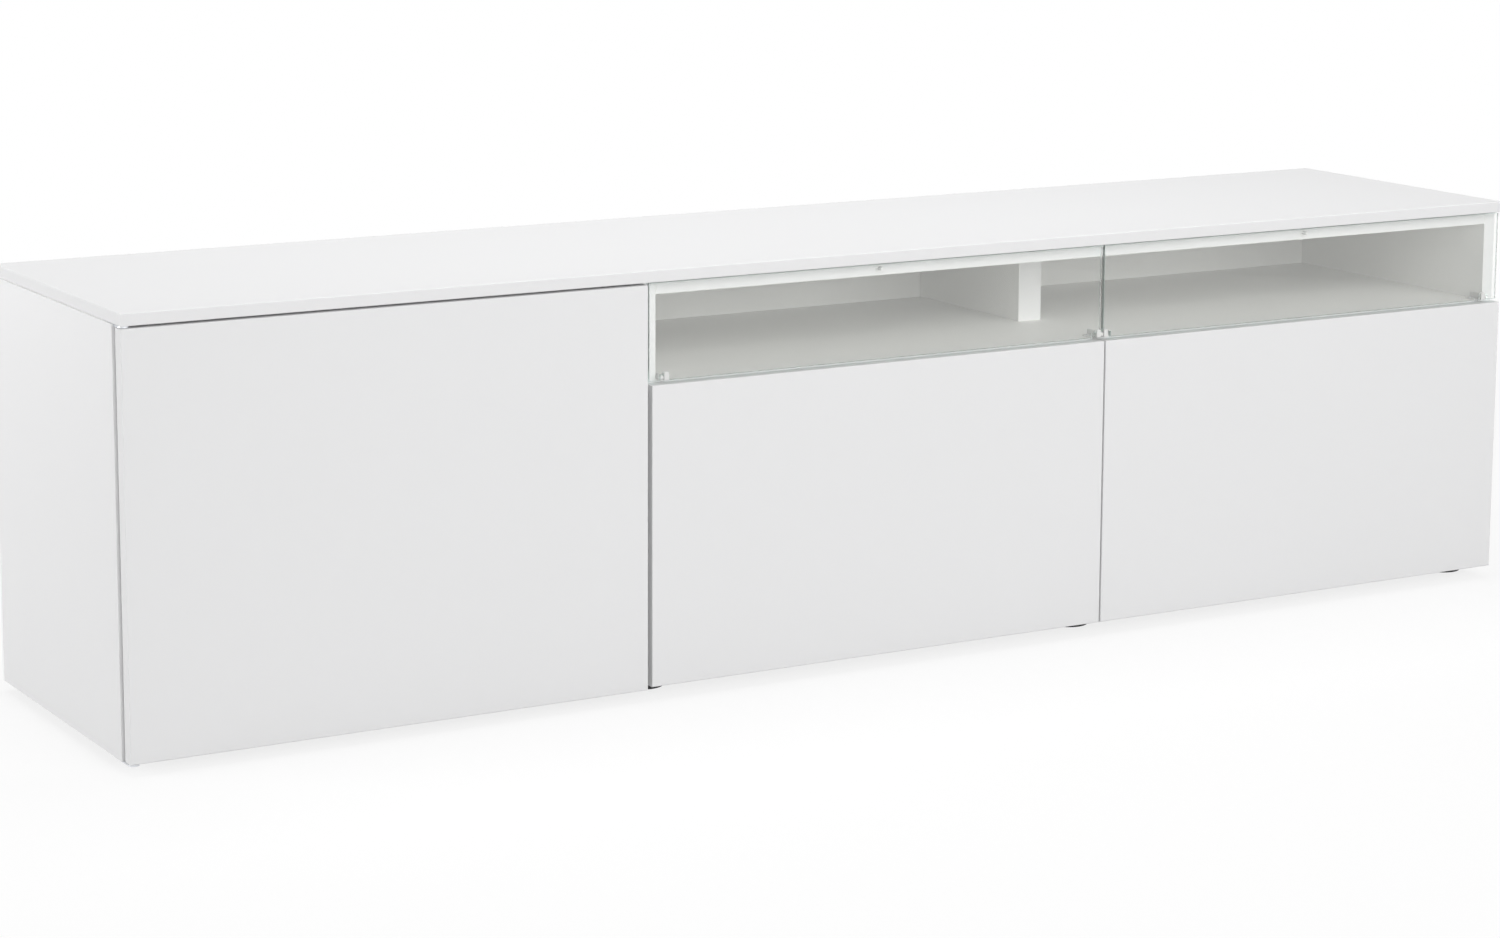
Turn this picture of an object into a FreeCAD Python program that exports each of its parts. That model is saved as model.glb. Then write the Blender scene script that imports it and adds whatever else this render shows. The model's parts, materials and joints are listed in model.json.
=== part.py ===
import FreeCAD, Part
import os
import re

import Sketcher
from FreeCAD import Placement, Rotation, Vector

# A low white media console on glide feet. Two carcasses stand side by side under one cover slab: a left
# unit of one bay behind a pivot-hung door, and a right unit of two bays with a drawer each and, above the
# drawers, a niche behind two drop-down glass flaps. X runs along the front, Y to the rear, Z up, and the
# origin lies on the floor under the middle of the console.

# Driving sizes in millimetres, each written once.
SIZES = {
    # Carcass boards
    "bay_width": 600,
    "carcass_height": 450,
    "carcass_depth": 364,
    "board": 16,
    "arris": 0.4,
    "back_board": 5,
    "back_setback": 5,
    "groove_depth": 6,
    "fit_gap": 0.2,
    "niche_height": 95,
    "divider_board": 32,
    "divider_recess": 138,
    "cable_hole_radius": 30,
    "cable_hole_height": 330,
    # Cover and fronts
    "cover_board": 13,
    "front_board": 16,
    "front_gap": 3,
    "front_inset": 2.5,
    "front_reveal": 2,
    "edge_round": 1,
    "door_lift": 0.5,
    "door_reveal": 2.5,
    "drawer_front_lift": 3,
    "drawer_front_drop": 1.5,
    # Shelf
    "shelf_height": 217,
    "shelf_recess": 20,
    "shelf_gap": 0.8,
    "pin_radius": 2.5,
    "pin_length": 18,
    "pin_depth": 10,
    "pin_inset": 40,
    "pin_pitch": 32,
    # Joinery
    "dowel_radius": 4,
    "dowel_length": 30,
    "dowel_depth": 10,
    "dowel_inset": 55,
    "unit_bolt_radius": 3,
    "unit_bolt_head_radius": 7,
    "unit_bolt_head": 2,
    "unit_bolt_inset": 90,
    "unit_bolt_low": 50,
    "unit_bolt_high": 290,
    "cover_screw_radius": 2,
    "cover_screw_head_radius": 4,
    "cover_screw_head": 2.5,
    "cover_screw_bite": 8,
    "cover_screw_inset": 95,
    # Glide feet
    "foot_height": 12,
    "foot_radius": 24,
    "foot_neck_radius": 19,
    "foot_stem_radius": 4,
    "foot_stem": 10,
    "foot_inset": 25,
    "door_foot_inset": 52,
    "foot_setback": 46,
    # Door pivots
    "pivot_inset": 6,
    "pivot_pin_radius": 2,
    "pivot_pin": 9,
    "pivot_gap": 0.05,
    "leaf_width": 12,
    "leaf_gauge": 2,
    "leaf_reach": 31,
    "bush_radius": 3.5,
    "bush_flange_radius": 5,
    "bush_flange": 0.3,
    "bush_depth": 11,
    "leaf_screw_radius": 1.75,
    "leaf_screw_head_radius": 3.5,
    "leaf_screw": 25,
    "leaf_screw_inset": 8,
    # Push latches
    "latch_radius": 4,
    "latch_length": 40,
    "latch_flange_radius": 4.8,
    "latch_flange": 0.6,
    "plunger_radius": 2,
    "plunger_depth": 30,
    "plunger_play": 0.2,
    "latch_gap": 0.3,
    "strike_radius": 4.5,
    "strike_gauge": 1,
    "door_latch_height": 225,
    # Glass flaps
    "glass_thickness": 5,
    "glass_recess": 7,
    "glass_lift": 1.5,
    "glass_reveal": 2,
    "glass_joint": 4,
    "glass_arris": 0.4,
    "flap_pivot_rise": 3.5,
    "flap_pin_radius": 1.25,
    "flap_pin": 5.5,
    "flap_pin_gap": 0.1,
    "notch_height": 6.5,
    "shoe_width": 6,
    "shoe_cheek": 1.2,
    "shoe_grip": 3,
    "shoe_lift": 0.5,
    "shoe_chamfer": 0.5,
    "ear_radius": 2.7,
    "ear_gauge": 3,
    "ear_gap": 0.5,
    "bracket_setback": 2,
    "bracket_foot": 16,
    "bracket_foot_width": 10,
    "bracket_foot_gauge": 1.5,
    # Drawers and runners
    "drawer_board": 12,
    "drawer_bottom_board": 5,
    "drawer_bottom_rise": 12,
    "drawer_lift": 14,
    "drawer_height": 220,
    "drawer_depth": 345,
    "runner_thickness": 12.7,
    "runner_height": 45,
    "runner_length": 340,
    "runner_setback": 2,
    "runner_rise": 85,
    "runner_gauge": 1.2,
    "runner_gap": 0.4,
    "cabinet_rail_width": 10.5,
}

# Rods, screws and bores that stay out of sight are drawn with few flats, the feet's soles with more.
ROD_FLATS = 8
SOLE_FLATS = 20

doc = FreeCAD.newDocument("MediaConsole")
sheet = doc.addObject("Spreadsheet::Sheet", "Sizes")
for row, (size_name, size) in enumerate(SIZES.items(), start=1):
    sheet.set(f"A{row}", size_name)
    sheet.set(f"B{row}", str(size))
    sheet.setAlias(f"B{row}", size_name)
doc.recompute()

# Planes that several pieces share, as expressions on the sizes.
DEPTH = "(front_board + front_gap + carcass_depth)"
FRONT = f"(-{DEPTH} / 2)"
FRONT_BACK = f"({FRONT} + front_board)"
CARCASS_FRONT = f"({FRONT_BACK} + front_gap)"
REAR = f"({DEPTH} / 2)"
LEFT = "(-1.5 * bay_width)"
UNIT_JOINT = "(-0.5 * bay_width)"
BAY_JOINT = "(0.5 * bay_width)"
RIGHT = "(1.5 * bay_width)"
BASE = "foot_height"
TOP = "(foot_height + carcass_height)"
CEILING = f"({TOP} - board)"
NICHE_FLOOR = f"({CEILING} - niche_height)"
INNER_DEPTH = "(carcass_depth - back_setback - back_board - fit_gap)"
GLASS_BACK = f"({FRONT} + glass_recess + glass_thickness)"
FLAP_AXIS_Y = f"({GLASS_BACK} - glass_thickness / 2)"
FLAP_AXIS_Z = f"({NICHE_FLOOR} + glass_lift + flap_pivot_rise)"
DOOR_AXIS_X = f"({LEFT} + front_inset + pivot_inset)"
DOOR_AXIS_Y = f"({FRONT} + front_board / 2)"

# Turns that bring a piece's own Z axis, along which it is made, to where it points on the console.
ALONG = {
    "x": Rotation(Vector(0, 1, 0), 90),
    "y": Rotation(Vector(1, 0, 0), -90),
    "z": Rotation(),
    "down": Rotation(Vector(1, 0, 0), 180),
}
ALONG_STEP = {"x": (0, "+"), "y": (1, "+"), "z": (2, "+"), "down": (2, "-")}
FACE_ON = Rotation(Vector(1, 0, 0), 90)
FACE_ON_TURNED = Rotation(Vector(0, 1, 0), 180) * FACE_ON
SIDE_ON = Rotation(Vector(1, 1, 1), 120)

# Faces of a padded rectangle: the upright front and back, and the level underside and top.
UPRIGHT_FACES = ("Face1", "Face3")
LEVEL_FACES = ("Face5", "Face6")

pieces = []
drillings = {}


def cell(words):
    """Write an expression on size names as one on the sheet's cells."""
    return re.sub(r"[a-z_]+", lambda name: "Sizes." + name.group(), words)


def value(words):
    """Work out an expression on size names as a number."""
    return float(sheet.evalExpression(cell(words)))


def place(thing, corner, turn=Rotation()):
    """Put a piece at a corner that is bound to the sizes."""
    thing.Placement = Placement(Vector(), turn)
    for axis, words in zip("xyz", corner):
        thing.setExpression(f"Placement.Base.{axis}", cell(words))


def kept(thing, label):
    """Name a finished piece and keep it for writing."""
    thing.Label = label
    pieces.append(thing)
    return thing


def sketch_in(body, start="0"):
    """New sketch of a body, level in its own frame at a height bound to the sizes."""
    plane = next(datum for datum in body.Origin.OriginFeatures if datum.Role == "XY_Plane")
    sketch = body.newObject("Sketcher::SketchObject", body.Name + "_sketch")
    sketch.AttachmentSupport = (plane, [""])
    sketch.MapMode = "FlatFace"
    sketch.setExpression("AttachmentOffset.Base.z", cell(start))
    return sketch


def dimension(sketch, kind, places, words):
    """Dimension of a sketch that is bound to the sizes."""
    index = sketch.addConstraint(Sketcher.Constraint(kind, *places, value(words)))
    sketch.setExpression(f"Constraints[{index}]", cell(words))


def outline(sketch, corners):
    """Closed outline of upright and level lines between corners, each corner dimensioned from the origin."""
    points = [Vector(value(x), value(y), 0) for x, y in corners]
    lines = [sketch.addGeometry(Part.LineSegment(start, end), False)
             for start, end in zip(points, points[1:] + points[:1])]
    for line, following in zip(lines, lines[1:] + lines[:1]):
        sketch.addConstraint(Sketcher.Constraint("Coincident", line, 2, following, 1))
    for index, line in enumerate(lines):
        start, end = corners[index], corners[(index + 1) % len(corners)]
        level = start[1] == end[1]
        sketch.addConstraint(Sketcher.Constraint("Horizontal" if level else "Vertical", line))
        if level:
            dimension(sketch, "DistanceY", (-1, 1, line, 1), start[1])
        else:
            dimension(sketch, "DistanceX", (-1, 1, line, 1), start[0])


def rectangle(sketch, x, y, width, height):
    """Rectangle from its lower left corner."""
    right, top = f"({x} + {width})", f"({y} + {height})"
    outline(sketch, [(x, y), (right, y), (right, top), (x, top)])


def circle(sketch, x, y, radius):
    """Circle about a centre that is dimensioned from the origin."""
    shape = Part.Circle(Vector(value(x), value(y), 0), Vector(0, 0, 1), value(radius))
    ring = sketch.addGeometry(shape, False)
    dimension(sketch, "DistanceX", (-1, 1, ring, 3), x)
    dimension(sketch, "DistanceY", (-1, 1, ring, 3), y)
    dimension(sketch, "Radius", (ring,), radius)


def feature(body, kind, sketch, length):
    """Pad or pocket of a sketch, upwards from its plane."""
    made = body.newObject(f"PartDesign::{kind}", f"{body.Name}_{kind}")
    made.Profile = sketch
    made.Reversed = kind == "Pocket"
    made.setExpression("Length", cell(length))
    return made


def block(body, kind, corner, size, start="0"):
    """Pad or pocket of a rectangle, with size as width, height and length."""
    sketch = sketch_in(body, start)
    rectangle(sketch, *corner, *size[:2])
    return feature(body, kind, sketch, size[2])


def disc(body, kind, centre, radius, length, start="0"):
    """Pad or pocket of a circle."""
    sketch = sketch_in(body, start)
    circle(sketch, *centre, radius)
    return feature(body, kind, sketch, length)


def ease(body, kind, base, words, faces=()):
    """Round or break the edges of the named faces of a body, or every edge."""
    made = body.newObject(f"PartDesign::{kind}", f"{body.Name}_{kind}")
    made.Base = (base, list(faces) or ["Edge1"])
    made.UseAllEdges = not faces
    made.setExpression("Radius" if kind == "Fillet" else "Size", cell(words))
    return made


def new_body(name, corner, turn=Rotation()):
    """Empty body at its place."""
    body = doc.addObject("PartDesign::Body", name)
    place(body, corner, turn)
    return body


def board(label, corner, size, round_faces=()):
    """Cut board, to be drilled later, with rounds along the named faces' edges or else with broken edges."""
    body = new_body(label + "_board", corner)
    panel = block(body, "Pad", ("0", "0"), size)
    if round_faces:
        ease(body, "Fillet", panel, "edge_round", round_faces)
    else:
        ease(body, "Chamfer", panel, "arris")
    drillings[label] = (body, [])


def tool_box(corner, size):
    """Box that a groove or recess is cut with."""
    box = doc.addObject("Part::Box", "groove")
    for side, words in zip(("Length", "Width", "Height"), size):
        box.setExpression(side, cell(words))
    place(box, corner)
    return box


def rod(name, start, axis, radius, length):
    """Plain round rod from its starting point along an axis."""
    made = doc.addObject("Part::Cylinder", name)
    made.setExpression("Radius", cell(radius))
    made.setExpression("Height", cell(length))
    place(made, start, ALONG[axis])
    return made


def peg(name, start, axis, radius, length):
    """Rod with flats from its starting point along an axis."""
    made = doc.addObject("Part::Prism", name)
    made.Polygon = ROD_FLATS
    made.setExpression("Circumradius", cell(radius))
    made.setExpression("Height", cell(length))
    place(made, start, ALONG[axis])
    return made


def stepped(name, start, axis, steps, bore=None, borer=peg):
    """Pegs end to end, as (radius, length) pairs along an axis, with a bore right through."""
    index, sign = ALONG_STEP[axis]
    members, height = [], "0"
    for radius, length in steps:
        at = list(start)
        at[index] = f"{start[index]} {sign} {height}"
        members.append(peg(name + "_step", at, axis, radius, length))
        height = f"({height} + {length})"
    solid = members[0]
    if len(members) > 1:
        solid = doc.addObject("Part::MultiFuse", name)
        solid.Shapes = members
    if bore is None:
        return solid
    pierced = doc.addObject("Part::Cut", name)
    pierced.Base = solid
    pierced.Tool = borer(name + "_bore", start, axis, bore, height)
    return pierced


def cut_into(tool, *labels):
    """Cut a tool into the named boards or leaves."""
    for label in labels:
        drillings[label][1].append(tool)


def finish_drilled():
    """Cut each board and leaf with its own tools and keep it."""
    for label, (body, tools) in drillings.items():
        if not tools:
            kept(body, label)
            continue
        drills = doc.addObject("Part::Compound", label + "_drills")
        drills.Links = tools
        drilled = doc.addObject("Part::Cut", label)
        drilled.Base = body
        drilled.Tool = drills
        kept(drilled, label)


def group(label, members):
    """Keep several like pieces under one name."""
    compound = doc.addObject("Part::Compound", label)
    compound.Links = members
    kept(compound, label)


# The two units, each with its sides and the planes between which it stands.
UNITS = (("left_unit", "left_unit_outer_side", "left_unit_inner_side", LEFT, UNIT_JOINT),
         ("right_unit", "right_unit_inner_side", "right_unit_outer_side", UNIT_JOINT, RIGHT))


def unit_boards(unit, left_side, right_side, start, end):
    """Carcass boards of one unit: sides, bottom, top and a back held in grooves."""
    inner = f"({end} - {start} - 2 * board)"
    board(left_side, (start, CARCASS_FRONT, BASE), ("board", "carcass_depth", "carcass_height"))
    board(right_side, (f"{end} - board", CARCASS_FRONT, BASE), ("board", "carcass_depth", "carcass_height"))
    board(unit + "_bottom", (f"{start} + board", CARCASS_FRONT, BASE), (inner, "carcass_depth", "board"))
    board(unit + "_top", (f"{start} + board", CARCASS_FRONT, CEILING), (inner, "carcass_depth", "board"))
    back_y = f"({REAR} - back_setback - back_board)"
    groove_x, groove_z = f"({start} + board - groove_depth)", f"({BASE} + board - groove_depth)"
    groove_width = f"({inner} + 2 * groove_depth)"
    groove_height = "(carcass_height - 2 * board + 2 * groove_depth)"
    board(unit + "_back", (f"{groove_x} + fit_gap", back_y, f"{groove_z} + fit_gap"),
          (f"{groove_width} - 2 * fit_gap", "back_board", f"{groove_height} - 2 * fit_gap"))
    groove = tool_box((groove_x, f"{back_y} - fit_gap", groove_z),
                      (groove_width, "back_board + 2 * fit_gap", groove_height))
    cut_into(groove, left_side, right_side, unit + "_bottom", unit + "_top")


for unit in UNITS:
    unit_boards(*unit)
board("niche_floor", (f"{UNIT_JOINT} + board", CARCASS_FRONT, f"{NICHE_FLOOR} - board"),
      ("2 * bay_width - 2 * board", INNER_DEPTH, "board"))
board("drawer_partition", (f"{BAY_JOINT} - board / 2", CARCASS_FRONT, f"{BASE} + board"),
      ("board", INNER_DEPTH, f"{NICHE_FLOOR} - {BASE} - 2 * board"))
board("niche_divider", (f"{BAY_JOINT} - divider_board / 2", f"{CARCASS_FRONT} + divider_recess", NICHE_FLOOR),
      ("divider_board", f"{INNER_DEPTH} - divider_recess", "niche_height"))
board("adjustable_shelf",
      (f"{LEFT} + board + shelf_gap", f"{CARCASS_FRONT} + shelf_recess", f"{BASE} + shelf_height"),
      ("bay_width - 2 * board - 2 * shelf_gap", f"{INNER_DEPTH} - shelf_recess - shelf_gap", "board"))
board("cover_slab", (f"{LEFT} + front_inset", FRONT, TOP),
      ("3 * bay_width - 2 * front_inset", DEPTH, "cover_board"), LEVEL_FACES)
cut_into(rod("cable_outlet", (f"{LEFT} + bay_width / 2", f"{REAR} - back_setback - 2 * back_board",
                              f"{BASE} + cable_hole_height"),
             "y", "cable_hole_radius", "3 * back_board"), "left_unit_back")

# Dowels across the carcass joints, each of which enters the board whose face it meets by dowel_depth.
dowels = []


def dowel_pair(boards, x, z, axis, setback="dowel_inset"):
    """Two dowels through a joint of two boards, near its front and its rear, from their starting line."""
    for y in (f"{CARCASS_FRONT} + {setback}", f"{REAR} - dowel_inset"):
        dowels.append(peg("dowel", (x, y, z), axis, "dowel_radius", "dowel_length"))
        start = (f"{x} - fit_gap", y, z) if axis == "x" else (x, y, f"{z} - fit_gap")
        cut_into(peg("dowel_hole", start, axis, "dowel_radius + fit_gap", "dowel_length + 2 * fit_gap"),
                 *boards)


def unit_dowels(left_side, right_side, start, end, level, z):
    """Dowels at both ends of a level board of a unit."""
    dowel_pair((left_side, level), f"{start} + board - dowel_depth", z, "x")
    dowel_pair((right_side, level), f"{end} - board + dowel_depth - dowel_length", z, "x")


for unit, *between in UNITS:
    unit_dowels(*between, unit + "_bottom", f"{BASE} + board / 2")
    unit_dowels(*between, unit + "_top", f"{CEILING} + board / 2")
unit_dowels(*UNITS[-1][1:], "niche_floor", f"{NICHE_FLOOR} - board / 2")
dowel_pair(("right_unit_bottom", "drawer_partition"), BAY_JOINT, f"{BASE} + board - dowel_depth", "z")
dowel_pair(("niche_floor", "niche_divider"), BAY_JOINT, f"{NICHE_FLOOR} - dowel_depth", "z",
           "divider_recess + dowel_inset")

# Shelf pins in rows of holes, so that the shelf can be set higher or lower.
shelf_pins = []
PIN_Z = f"({BASE} + shelf_height - pin_radius)"
for y in (f"{CARCASS_FRONT} + shelf_recess + pin_inset", f"{REAR} - back_setback - back_board - pin_inset"):
    for side, x in (("left_unit_outer_side", f"{LEFT} + board - pin_depth"),
                    ("left_unit_inner_side", f"{UNIT_JOINT} - board + pin_depth - pin_length")):
        shelf_pins.append(peg("shelf_pin", (x, y, PIN_Z), "x", "pin_radius", "pin_length"))
        for step in ("-pin_pitch", "0", "pin_pitch"):
            cut_into(peg("pin_hole", (f"{x} - fit_gap", y, f"{PIN_Z} + {step}"), "x",
                         "pin_radius + fit_gap / 2", "pin_length + 2 * fit_gap"), side)
group("shelf_pins", shelf_pins)

# Bolts with a head at each end that hold the two units together.
unit_bolts = []
for y in (f"{CARCASS_FRONT} + unit_bolt_inset", f"{REAR} - unit_bolt_inset"):
    for height in ("unit_bolt_low", "unit_bolt_high"):
        z = f"{BASE} + {height}"
        unit_bolts.append(stepped("unit_bolt", (f"{UNIT_JOINT} - board - unit_bolt_head", y, z), "x",
                                  [("unit_bolt_head_radius", "unit_bolt_head"),
                                   ("unit_bolt_radius", "2 * board"),
                                   ("unit_bolt_head_radius", "unit_bolt_head")]))
        cut_into(peg("unit_bolt_hole", (f"{UNIT_JOINT} - 2 * board", y, z), "x",
                     "unit_bolt_radius + fit_gap", "4 * board"),
                 "left_unit_inner_side", "right_unit_inner_side")
group("unit_bolts", unit_bolts)

# Screws from inside the units up into the cover slab.
cover_screws = []
for unit, x in (("left_unit", f"{LEFT} + bay_width / 2"), ("right_unit", f"{UNIT_JOINT} + bay_width / 2"),
                ("right_unit", f"{BAY_JOINT} + bay_width / 2")):
    for y in (f"{CARCASS_FRONT} + cover_screw_inset", f"{REAR} - cover_screw_inset"):
        cover_screws.append(stepped("cover_screw", (x, y, f"{CEILING} - cover_screw_head"), "z",
                                    [("cover_screw_head_radius", "cover_screw_head"),
                                     ("cover_screw_radius", "board + cover_screw_bite")]))
        cut_into(peg("cover_screw_hole", (x, y, f"{CEILING} - fit_gap"), "z", "cover_screw_radius + fit_gap",
                     "board + cover_screw_bite + 2 * fit_gap"), unit + "_top", "cover_slab")
group("cover_screws", cover_screws)

# Glide feet: a disc that narrows upwards, and a stem in the bottom board. The door unit's feet stand further
# in, clear of the door's lower leaf.
FOOT_TAPER = f"-atan({cell('(foot_radius - foot_neck_radius) / foot_height')})"
glide_feet = []
for unit, x in (("left_unit", f"{LEFT} + door_foot_inset"), ("left_unit", f"{UNIT_JOINT} - door_foot_inset"),
                ("right_unit", f"{UNIT_JOINT} + foot_inset"), ("right_unit", BAY_JOINT),
                ("right_unit", f"{RIGHT} - foot_inset")):
    for y in (f"{CARCASS_FRONT} + foot_setback", f"{REAR} - foot_setback"):
        sole = doc.addObject("Part::RegularPolygon", "glide_sole")
        sole.Polygon = SOLE_FLATS
        sole.setExpression("Circumradius", cell("foot_radius"))
        place(sole, (x, y, "0"))
        disc_foot = doc.addObject("Part::Extrusion", "glide_disc")
        disc_foot.Base = sole
        disc_foot.DirMode = "Custom"
        disc_foot.Dir = Vector(0, 0, 1)
        disc_foot.Solid = True
        disc_foot.setExpression("LengthFwd", cell("foot_height"))
        disc_foot.setExpression("TaperAngle", FOOT_TAPER)
        foot = doc.addObject("Part::Fuse", "glide_foot")
        foot.Base = disc_foot
        foot.Tool = peg("glide_stem", (x, y, BASE), "z", "foot_stem_radius", "foot_stem")
        glide_feet.append(foot)
        cut_into(peg("foot_hole", (x, y, f"{BASE} - fit_gap"), "z", "foot_stem_radius + fit_gap",
                     "foot_stem + 2 * fit_gap"), unit + "_bottom")
group("glide_feet", glide_feet)

# Door on two pivot leaves. The upper leaf lies in a recess in the side's end, the lower one under it.
board("door_panel", (f"{LEFT} + front_inset", FRONT, f"{BASE} + door_lift"),
      ("bay_width - 2 * front_inset", "front_board", "carcass_height - door_lift - door_reveal"),
      UPRIGHT_FACES)
LEAF_LENGTH = f"({CARCASS_FRONT} - {DOOR_AXIS_Y} + leaf_reach)"
SCREW_PLACES = (f"({LEAF_LENGTH} - leaf_reach + leaf_screw_inset)", f"({LEAF_LENGTH} - leaf_screw_inset)")


def pivot_leaf(label, z, turn):
    """Flat leaf with a round nose and a pivot pin on it, to be drilled for its screws."""
    body = new_body(label + "_blank", (DOOR_AXIS_X, DOOR_AXIS_Y, z), turn)
    disc(body, "Pad", ("0", "0"), "leaf_width / 2", "leaf_gauge")
    block(body, "Pad", ("-leaf_width / 2", "0"), ("leaf_width", LEAF_LENGTH, "leaf_gauge"))
    disc(body, "Pad", ("0", "0"), "pivot_pin_radius", "leaf_gauge + pivot_pin")
    drillings[label] = (body, [])


pivot_leaf("door_bottom_leaf", f"{BASE} - leaf_gauge", Rotation())
pivot_leaf("door_top_leaf", TOP, Rotation(Vector(0, 1, 0), 180))
cut_into(tool_box((f"{DOOR_AXIS_X} - leaf_width / 2 - fit_gap", f"{CARCASS_FRONT} - fit_gap",
                   f"{TOP} - leaf_gauge"),
                  ("leaf_width + 2 * fit_gap", "leaf_reach + 2 * fit_gap", "leaf_gauge + fit_gap")),
         "left_unit_outer_side")
leaf_screws = []
for y in SCREW_PLACES:
    for leaf, z, axis in (("door_bottom_leaf", f"{BASE} - leaf_gauge", "z"), ("door_top_leaf", TOP, "down")):
        at = (DOOR_AXIS_X, f"{DOOR_AXIS_Y} + {y}", z)
        cut_into(peg("leaf_hole", at, axis, "leaf_screw_head_radius + fit_gap", "leaf_gauge"), leaf)
        leaf_screws.append(stepped("leaf_screw", at, axis, [("leaf_screw_head_radius", "leaf_gauge"),
                                                            ("leaf_screw_radius", "leaf_screw")]))
        cut_into(peg("leaf_screw_hole", at, axis, "leaf_screw_radius + fit_gap",
                     "leaf_gauge + leaf_screw + fit_gap"), "left_unit_outer_side")
group("hinge_leaf_screws", leaf_screws)
door_bushes = []
for z, axis in ((f"{BASE} + door_lift - bush_flange", "z"), (f"{TOP} - door_reveal + bush_flange", "down")):
    at = (DOOR_AXIS_X, DOOR_AXIS_Y, z)
    door_bushes.append(stepped("door_bush", at, axis, [("bush_flange_radius", "bush_flange"),
                                                       ("bush_radius", "bush_depth")],
                               "pivot_pin_radius + pivot_gap", rod))
    cut_into(peg("bush_hole", at, axis, "bush_radius + pivot_gap", "bush_flange + bush_depth + pivot_gap"),
             "door_panel")
group("door_pivot_bushes", door_bushes)

# Push latches bored into the front edges of the boards, and the strikes that their plungers meet.
latch_sleeves = []


def push_latch(front, carrier, x, z, stop):
    """Sleeve in a board's edge and a sliding plunger whose nose stands just off a stop plane."""
    flange_y = f"({CARCASS_FRONT} - latch_flange)"
    latch_sleeves.append(stepped("latch_sleeve", (x, flange_y, z), "y",
                                 [("latch_flange_radius", "latch_flange"), ("latch_radius", "latch_length")],
                                 "plunger_radius + plunger_play"))
    cut_into(peg("latch_bore", (x, f"{CARCASS_FRONT} - fit_gap", z), "y", "latch_radius + fit_gap",
                 "latch_length + 2 * fit_gap"), carrier)
    nose_y = f"({stop} + latch_gap)"
    label = front + "_latch_plunger"
    kept(peg(label, (x, nose_y, z), "y", "plunger_radius", f"{CARCASS_FRONT} + plunger_depth - {nose_y}"),
         label)


def strike(front, x, z):
    """Round strike plate on the back of a front."""
    label = front + "_strike"
    kept(peg(label, (x, FRONT_BACK, z), "y", "strike_radius", "strike_gauge"), label)


STRIKE_FACE = f"({FRONT_BACK} + strike_gauge)"
DOOR_LATCH = (f"({UNIT_JOINT} - board / 2)", f"({BASE} + door_latch_height)")
push_latch("door", "left_unit_inner_side", *DOOR_LATCH, STRIKE_FACE)
strike("door", *DOOR_LATCH)


# Drawers: a front, a box of four boards, and telescopic runners of three members on each side.
def runner_member(name, part, x, left_hand):
    """One runner member, made as a channel along the runner's length."""
    rear = f"({CARCASS_FRONT} + runner_setback + runner_length)"
    z = f"({BASE} + board + drawer_lift + runner_rise)"
    body = new_body(name, (x, rear, z), FACE_ON if left_hand else FACE_ON_TURNED)
    half = "(runner_height / 2)"
    step = "(runner_gauge + runner_gap)"

    def channel(kind, near, far, drop):
        block(body, kind, (near, f"-({half} - {drop})"),
              (f"({far} - {near})", f"(2 * ({half} - {drop}))", "runner_length"))

    if part == "cabinet":
        channel("Pad", "0", "cabinet_rail_width", "0")
        channel("Pocket", "runner_gauge", "(cabinet_rail_width - runner_gauge)", "runner_gauge")
        channel("Pocket", "runner_gauge", "cabinet_rail_width", f"({step} + runner_gauge)")
    if part == "middle":
        channel("Pad", step, f"(cabinet_rail_width - {step})", step)
        channel("Pocket", f"({step} + runner_gauge)", f"(cabinet_rail_width - {step})",
                f"({step} + runner_gauge)")
    if part == "drawer":
        channel("Pad", f"(2 * {step})", "runner_thickness", f"(2 * {step})")
        channel("Pocket", f"(2 * {step})", "(runner_thickness - runner_gauge)",
                f"(2 * {step} + runner_gauge)")
    return body


def drawer(name, front_x, near, far):
    """Drawer in the bay between two inner faces, with its latch in the niche floor's edge."""
    front_z = f"({BASE} + drawer_front_lift)"
    board(name + "_front", (front_x, FRONT, front_z),
          ("bay_width - front_inset - front_reveal / 2", "front_board",
           f"{NICHE_FLOOR} - drawer_front_drop - {front_z}"), UPRIGHT_FACES)
    left, right = f"({near} + runner_thickness)", f"({far} - runner_thickness)"
    floor = f"({BASE} + board + drawer_lift)"
    side = ("drawer_board", "drawer_depth", "drawer_height")
    board(name + "_left_side", (left, FRONT_BACK, floor), side)
    board(name + "_right_side", (f"{right} - drawer_board", FRONT_BACK, floor), side)
    panel_z = f"({floor} + drawer_bottom_rise)"
    inner_left = f"({left} + drawer_board)"
    inner = f"({right} - {left} - 2 * drawer_board)"
    board(name + "_bottom", (f"{inner_left} - groove_depth + fit_gap", FRONT_BACK, panel_z),
          (f"{inner} + 2 * groove_depth - 2 * fit_gap", "drawer_depth", "drawer_bottom_board"))
    cut_into(tool_box((f"{inner_left} - groove_depth", f"{FRONT_BACK} - fit_gap", f"{panel_z} - fit_gap"),
                      (f"{inner} + 2 * groove_depth", "drawer_depth + 2 * fit_gap",
                       "drawer_bottom_board + 2 * fit_gap")), name + "_left_side", name + "_right_side")
    board(name + "_back", (inner_left, f"{FRONT_BACK} + drawer_depth - drawer_board",
                           f"{panel_z} + drawer_bottom_board"),
          (inner, "drawer_board", "drawer_height - drawer_bottom_rise - drawer_bottom_board"))
    for part, ending in (("cabinet", "_cabinet_rails"), ("middle", "_middle_members")):
        group(name + ending, [runner_member(f"{name}_{part}_left", part, near, True),
                              runner_member(f"{name}_{part}_right", part, far, False)])
    for side_name, x, left_hand in (("left", near, True), ("right", far, False)):
        label = f"{name}_{side_name}_rail"
        kept(runner_member(label, "drawer", x, left_hand), label)
    middle, latch_z = f"(({near} + {far}) / 2)", f"({NICHE_FLOOR} - board / 2)"
    push_latch(name, "niche_floor", middle, latch_z, STRIKE_FACE)
    strike(name, middle, latch_z)


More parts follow.
